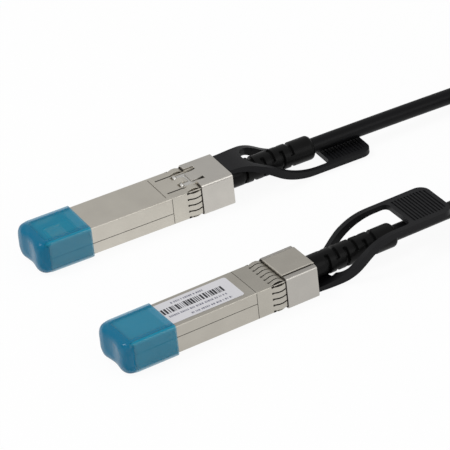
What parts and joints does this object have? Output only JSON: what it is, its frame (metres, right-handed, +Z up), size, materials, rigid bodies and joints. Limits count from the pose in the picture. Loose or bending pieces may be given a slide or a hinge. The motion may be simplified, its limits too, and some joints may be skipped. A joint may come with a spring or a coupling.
{
  "type": "direct attach copper cable",
  "caption": "Twin-axial copper cable ending in a pluggable module at either end, with soft dust caps, latches released by pull tabs, and the spare length wound in a tied coil.",
  "frame": {"origin": "bottom centre of the box round the two plugs, on the surface they lie on", "axes": "+X along the lower plug from its card end to its cable, +Y towards the other plug, +Z up"},
  "size_m": [0.1984, 0.0722, 0.0107],
  "materials": {
    "cap_rubber": "satin translucent rubber",
    "cast_shell": "nickel plated die casting, satin",
    "spring_sheet": "plated spring sheet",
    "sleeve_sheet": "plated sheet",
    "slide_steel": "stainless sheet and wire",
    "tab_rubber": "satin moulded",
    "boot_rubber": "satin moulded",
    "crimp_metal": "plain",
    "cable_jacket": "smooth jacket",
    "circuit_board": "solder mask",
    "contact_plating": "plated",
    "chip_resin": "moulded resin",
    "pair_wrap": "foil wrap",
    "label_sheet": "matt film",
    "tie_strap": "woven strap"
  },
  "bodies": {
    "cable_and_plugs": {"base_shell_a": "cast_shell", "cover_shell_a": "cast_shell", "emi_collar_a": "spring_sheet", "rear_sleeve_a": "sleeve_sheet", "return_spring_a": "slide_steel", "strain_relief_a": "boot_rubber", "crimp_ring_a": "crimp_metal", "cable_end_a": "cable_jacket", "paddle_card_a": "circuit_board", "card_contacts_a": "contact_plating", "memory_chip_a": "chip_resin", "wire_pairs_a": "pair_wrap", "base_shell_b": "cast_shell", "cover_shell_b": "cast_shell", "emi_collar_b": "spring_sheet", "rear_sleeve_b": "sleeve_sheet", "return_spring_b": "slide_steel", "strain_relief_b": "boot_rubber", "crimp_ring_b": "crimp_metal", "cable_end_b": "cable_jacket", "paddle_card_b": "circuit_board", "card_contacts_b": "contact_plating", "memory_chip_b": "chip_resin", "wire_pairs_b": "pair_wrap", "label_b": "label_sheet", "cable_lead_a": "cable_jacket", "cable_lead_b": "cable_jacket", "cable_coil": "cable_jacket", "coil_tie": "tie_strap"},
    "cap_a": {"dust_cap_a": "cap_rubber"},
    "cap_b": {"dust_cap_b": "cap_rubber"},
    "tab_a": {"pull_tab_a": "tab_rubber", "release_slide_a": "slide_steel"},
    "tab_b": {"pull_tab_b": "tab_rubber", "release_slide_b": "slide_steel"}
  },
  "joints": [
    {"name": "cap_pull_a", "type": "slide", "parent": "cable_and_plugs", "child": "cap_a", "axis": [-0.9988, 0.0489, 0], "range_m": [0, 0.02]},
    {"name": "tab_pull_a", "type": "slide", "parent": "cable_and_plugs", "child": "tab_a", "axis": [0.9988, -0.0489, 0], "range_m": [0, 0.002], "stiffness_N_per_m": 300, "deforming": ["return_spring_a"]},
    {"name": "cap_pull_b", "type": "slide", "parent": "cable_and_plugs", "child": "cap_b", "axis": [-1, 0, 0], "range_m": [0, 0.02]},
    {"name": "tab_pull_b", "type": "slide", "parent": "cable_and_plugs", "child": "tab_b", "axis": [1, 0, 0], "range_m": [0, 0.002], "stiffness_N_per_m": 300, "deforming": ["return_spring_b"]}
  ]
}
